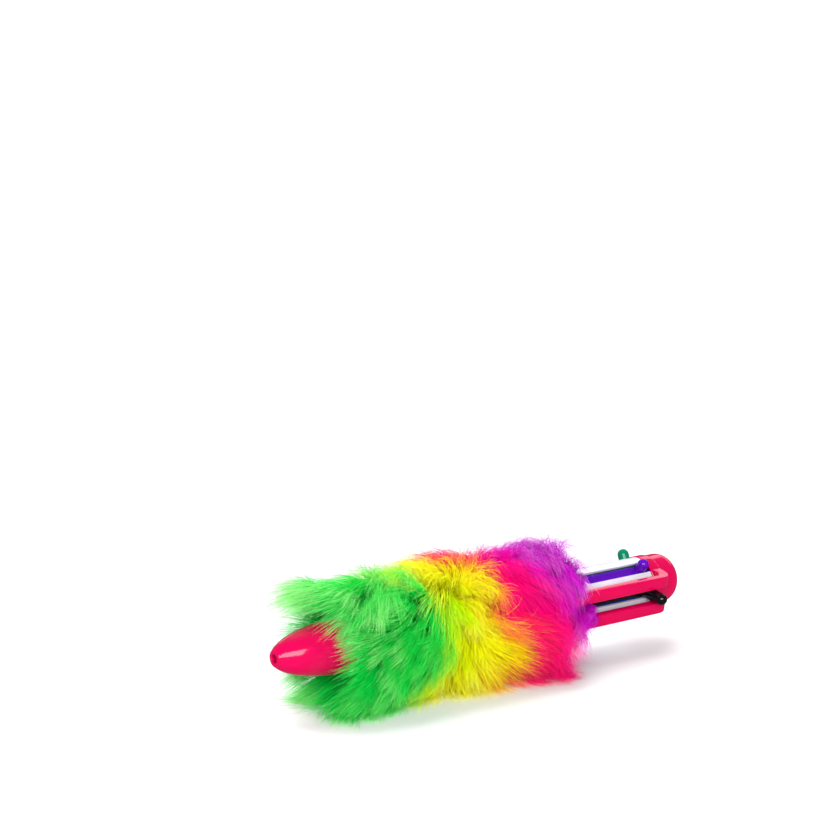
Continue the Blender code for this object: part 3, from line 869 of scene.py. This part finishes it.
def grow_paths(rng, root, long, lie, drawn, stray, between, clip):
    """Each strand's points from its root out, as it bends over towards the way the pile lies."""
    axial, sideways, lift = lie
    count = len(root)
    path = np.empty((count, RINGS, 3))
    path[:, 0] = root
    here = root.copy()
    step = long[:, None] / (RINGS - 1)
    curl = rng.normal(0, 1, (count, 3)) * CURL
    curl_late = rng.normal(0, 1, (count, 3)) * np.where(stray, STRAY_CURL, LATE_CURL)[:, None]
    splay = np.sign(root[:, 1] + rng.normal(0, 1.2 * MM, count))
    for k in range(1, RINGS):
        s = k / (RINGS - 1)
        # the directions out and round turn with the strand as it goes round the pen
        out = here - MIDDLE
        out[:, 0] = 0
        out /= np.linalg.norm(out, axis=1)[:, None]
        side = np.stack([np.zeros(count), -out[:, 2], out[:, 1]], 1)
        lean = LEAN + MORE_LEAN * s
        heading = out * (lift * (1 - LESS_LIFT * s))[:, None]
        heading += ALONG * (axial * lean)[:, None]
        heading += side * (sideways * lean)[:, None]
        heading[:, 2] -= SAG * s
        heading += curl * s + curl_late * s * s
        heading -= drawn / long[:, None]
        # between the clip's arms it stands straight up until it is past them
        standing = between & (clip.rise(here) < ARM_HIGH)
        heading = np.where(standing[:, None], clip.out + 0.3 * curl, heading)
        heading /= np.linalg.norm(heading, axis=1)[:, None]
        # a strand that meets the floor runs out along it
        below = here[:, 2] + heading[:, 2] * step[:, 0] < FLOOR_CLEAR
        flat = heading.copy()
        flat[:, 2] = 0
        flat[:, 1] += splay * 0.9
        flat /= np.linalg.norm(flat, axis=1)[:, None]
        drop = np.clip((here[:, 2] - FLOOR_CLEAR) / step[:, 0], 0, 1)
        lying = flat * np.sqrt(1 - drop**2)[:, None]
        lying[:, 2] = -drop
        heading = np.where(below[:, None], lying, heading)
        here = here + heading * step
        path[:, k] = here
    return path


def kept_clear(path, clip):
    """Paths moved out of the pen and the clip, and kept from spreading too far to the sides."""
    away = path - MIDDLE
    near = np.hypot(away[..., 1], away[..., 2])
    least = BACKING_RADIUS - 0.15 * MM
    grow = np.where(near < least, least / np.maximum(near, 1e-6), 1.0)
    path[..., 1] = MIDDLE[1] + away[..., 1] * grow
    path[..., 2] = MIDDLE[2] + away[..., 2] * grow
    path = clip.passed_over(path)
    beside = np.abs(path[..., 1])
    held = beside - 0.35 * np.maximum(beside - SPREAD, 0)
    path[..., 1] = np.sign(path[..., 1]) * np.minimum(held, WIDEST)
    return path


def rainbow_places(where, turn):
    """Each root's place along the rainbow, whose bands lie askew round the sleeve."""
    degrees = (np.degrees(turn) + 60) % 360 - 60
    shifts = np.array([np.interp(degrees, BAND_TURNS, row) for row in BAND_SHIFTS])
    row = np.clip(np.searchsorted(BAND_PLACES, where) - 1, 0, len(BAND_PLACES) - 2)
    starts, ends = np.array(BAND_PLACES)[row], np.array(BAND_PLACES)[row + 1]
    beyond = (where - starts) / (ends - starts)
    strand = np.arange(len(where))
    return where + shifts[row, strand] * (1 - beyond) + shifts[row + 1, strand] * beyond


class Clip:
    """Where the clip is, seen from the barrel's axis, for the fur round it."""

    def __init__(self):
        roll = math.radians(ROLLS["black"])
        self.out = np.array((0.0, -math.sin(roll), math.cos(roll)))
        self.side = np.array((0.0, -math.cos(roll), -math.sin(roll)))
        self.clear = 0.25 * MM
        self.inner = ARM_OFFSET - ARM_WIDTH / 2 - self.clear
        self.outer = ARM_OFFSET + ARM_WIDTH / 2 + self.clear
        self.front = cap_low.x - self.clear
        self.bridge_end = cap_low.x + BRIDGE_LENGTH + 0.5 * MM

    def rise(self, points):
        return (points - MIDDLE) @ self.out

    def across(self, points):
        return np.abs((points - MIDDLE) @ self.side)

    def under(self, root):
        """Whether a root is under an arm, under the bridge or between the arms."""
        return (self.across(root) < self.outer) & (root[:, 0] > self.front) & (self.rise(root) > 0)

    def between(self, root):
        """Whether a root is between the arms, with room to grow up past them."""
        clear = (self.across(root) < self.inner) & (root[:, 0] > self.bridge_end)
        return clear & (self.rise(root) > 0)

    def passed_over(self, path):
        """Points inside an arm or the bridge move out to just above it."""
        across, rise = self.across(path), self.rise(path)
        solid = (across > self.inner) | (path[..., 0] < self.bridge_end)
        inside = solid & (across < self.outer) & (path[..., 0] > self.front)
        inside &= (rise > ARM_LOW - self.clear) & (rise < ARM_HIGH + self.clear)
        return path + np.where(inside, ARM_HIGH + self.clear - rise, 0.0)[..., None] * self.out


def strands_mesh(name, path, place, pale, seed):
    """One closed tapering tube per strand, all in one mesh, with the map that its colour reads."""
    count = len(path)
    rng = np.random.default_rng(seed)
    heading = np.gradient(path, axis=1)
    heading /= np.linalg.norm(heading, axis=2)[..., None]
    helper = rng.normal(0, 1, (count, 1, 3))
    one = np.cross(heading, helper)
    one /= np.linalg.norm(one, axis=2)[..., None]
    two = np.cross(heading, one)
    s = np.linspace(0, 1, RINGS)
    thick = STRAND_RADIUS * rng.uniform(0.75, 1.25, count)[:, None] * (1 - 0.75 * s**2.2)[None]
    verts = np.empty((count, (RINGS - 1) * SIDES + 1, 3))
    for k in range(SIDES):
        a = math.tau * k / SIDES
        ring = path + (one * math.cos(a) + two * math.sin(a)) * thick[..., None]
        verts[:, k : (RINGS - 1) * SIDES : SIDES] = ring[:, :-1]
    verts[:, -1] = path[:, -1]
    verts[..., 2] = np.maximum(verts[..., 2], 0.05 * MM)

    last = (RINGS - 2) * SIDES
    tip = (RINGS - 1) * SIDES
    # faces of one strand with the v of their corners: sides, then the closed root and the point
    quads, tris = [], [(2, 1, 0)]
    quad_v, tri_v = [], [(0, 0, 0)]
    for r in range(RINGS - 2):
        for k in range(SIDES):
            n = (k + 1) % SIDES
            quads.append((r * SIDES + k, r * SIDES + n, (r + 1) * SIDES + n, (r + 1) * SIDES + k))
            quad_v.append((s[r], s[r], s[r + 1], s[r + 1]))
    for k in range(SIDES):
        tris.append((last + k, last + (k + 1) % SIDES, tip))
        tri_v.append((s[-2], s[-2], 1.0))
    base = np.arange(count)[:, None, None] * verts.shape[1]
    quad_index = (np.array(quads)[None] + base).reshape(-1)
    tri_index = (np.array(tris)[None] + base).reshape(-1)
    loops = np.concatenate([quad_index, tri_index]).astype(np.int32)
    quad_count, tri_count = count * len(quads), count * len(tris)
    starts = np.concatenate([np.arange(quad_count) * 4, quad_count * 4 + np.arange(tri_count) * 3])
    mesh = bpy.data.meshes.new(name)
    mesh.vertices.add(count * verts.shape[1])
    mesh.vertices.foreach_set("co", verts.astype(np.float32).ravel())
    mesh.loops.add(len(loops))
    mesh.loops.foreach_set("vertex_index", loops)
    mesh.polygons.add(len(starts))
    mesh.polygons.foreach_set("loop_start", starts.astype(np.int32))
    mesh.update(calc_edges=True)

    half_wide, inset = 0.0012, 0.004
    quad_u = np.array([(-1, 1, 1, -1)] * len(quads)) * half_wide
    tri_u = np.array([(-1, 1, 0)] * len(tris)) * half_wide
    u = np.concatenate([(place[:, None, None] + each[None]).ravel() for each in (quad_u, tri_u)])
    v = np.concatenate([np.outer(pale, np.array(each).ravel()).ravel() for each in (quad_v, tri_v)])
    uv = np.stack([np.clip(u, inset, 1 - inset), np.clip(v, inset, 1 - inset)], 1).astype(np.float32)
    mesh.uv_layers.new(name=STRAND_MAP).data.foreach_set("uv", uv.ravel())
    mesh.shade_smooth()
    return mesh


# the pieces that the pile is split into, by place along the rainbow
BANDS = (("green", 0.0, 0.27), ("yellow", 0.27, 0.47), ("pink", 0.47, 0.71), ("purple", 0.71, 1.01))
MOST_STRANDS = 7000
STRANDS = 64000


def make_fur():
    path, place, pale = grow_fur(STRANDS)
    look = fur_look()
    node = "fur_pile"
    for color, low, high in BANDS:
        inside = np.flatnonzero((place >= low) & (place < high))
        inside = inside[np.argsort(path[inside, 0, 0], kind="stable")]
        parts = math.ceil(len(inside) / MOST_STRANDS)
        for n, chosen in enumerate(np.array_split(inside, parts)):
            mesh = strands_mesh(f"fur_{color}_{n + 1}", path[chosen], place[chosen], pale[chosen], 100 + n)
            piece(mesh.name, mesh, look, "pen", node, Matrix.Identity(4))
            node = None


# ------------------------------------------------------------------ stage
def direction(azimuth, elevation):
    """The way from the pen to something seen at this azimuth, from -Y towards +X, and elevation."""
    a, e = math.radians(azimuth), math.radians(elevation)
    return Vector((math.sin(a) * math.cos(e), -math.cos(a) * math.cos(e), math.sin(e)))


def area_light(name, place, size, power):
    """A rectangular light that points at the pen."""
    data = bpy.data.lights.new(name, "AREA")
    data.shape = "RECTANGLE"
    data.size, data.size_y = size
    data.energy = power
    made = bpy.data.objects.new(name, data)
    bpy.context.scene.collection.objects.link(made)
    made.location = place
    made.rotation_euler = (AXIS - place).to_track_quat("-Z", "Y").to_euler()


LIGHT_DISTANCE = 0.9


def make_stage():
    """A white floor, a white surround, two area lights and a broad light from above."""
    bm = bmesh.new()
    bmesh.ops.create_grid(bm, x_segments=2, y_segments=2, size=6.0)
    floor = bpy.data.objects.new("floor", finished(bm, "floor"))
    bpy.context.scene.collection.objects.link(floor)
    paper = Shader("white_floor", 0.75, Specular_IOR_Level=0.2)
    grain = paper.noise(paper.object_coords(), 900.0, 3.0)
    paper.feed("Base Color", paper.ramp(grain, [(0.3, (0.73, 0.73, 0.73)), (0.7, (0.75, 0.75, 0.75))]))
    floor.data.materials.append(paper.material)
    floor.visible_glossy = False

    world = bpy.data.worlds.new("studio")
    world.use_nodes = True
    nodes, links = world.node_tree.nodes, world.node_tree.links
    # white to the camera, softer as a light, and dim in reflections, like flags round a set
    rays = nodes.new("ShaderNodeLightPath")
    white = nodes["Background"]
    white.inputs["Color"].default_value = (1, 1, 1, 1)
    strength = None
    for ray, value in (("Is Glossy Ray", 0.15), ("Is Camera Ray", 1.05)):
        pick = nodes.new("ShaderNodeMix")
        pick.inputs["A"].default_value, pick.inputs["B"].default_value = 0.5, value
        links.new(rays.outputs[ray], pick.inputs["Factor"])
        if strength:
            links.new(strength, pick.inputs["A"])
        strength = pick.outputs["Result"]
    links.new(strength, white.inputs["Strength"])
    bpy.context.scene.world = world
    area_light("front_box", AXIS + direction(-33, 24) * LIGHT_DISTANCE, (0.78, 0.42), 11.8)
    area_light("back_strip", AXIS + direction(135, 27) * LIGHT_DISTANCE, (1.4, 0.25), 2.0)
    sun = bpy.data.lights.new("overhead", "SUN")
    sun.energy, sun.angle = 4.0, math.radians(48)
    overhead = bpy.data.objects.new("overhead", sun)
    overhead.rotation_euler = direction(160, 52).to_track_quat("Z", "Y").to_euler()
    overhead.visible_glossy = False
    bpy.context.scene.collection.objects.link(overhead)


# the camera looks from the nose's side, with the pen low in its frame
CAMERA_AZIMUTH = -36.7
CAMERA_ELEVATION = 10.3
CAMERA_DISTANCE = 0.601
CAMERA_LENS = 84.5
AIM_LEFT = 0.0209
AIM_ABOVE = 0.06


def make_camera():
    back = direction(CAMERA_AZIMUTH, CAMERA_ELEVATION)
    a = math.radians(CAMERA_AZIMUTH)
    right = Vector((math.cos(a), math.sin(a), 0))
    up = back.cross(right)
    data = bpy.data.cameras.new("camera")
    data.lens, data.sensor_width = CAMERA_LENS, 36
    data.clip_start, data.clip_end = 0.01, 50
    camera = bpy.data.objects.new("camera", data)
    bpy.context.scene.collection.objects.link(camera)
    camera.location = AXIS + back * CAMERA_DISTANCE - right * AIM_LEFT + up * AIM_ABOVE
    camera.rotation_euler = (-back).to_track_quat("-Z", "Y").to_euler()
    bpy.context.scene.camera = camera


make_camera()
make_nose()
make_barrel()
make_cap()
make_insides()
make_backing()
make_fur()
make_stage()
bpy.context.scene.view_settings.view_transform = "Standard"
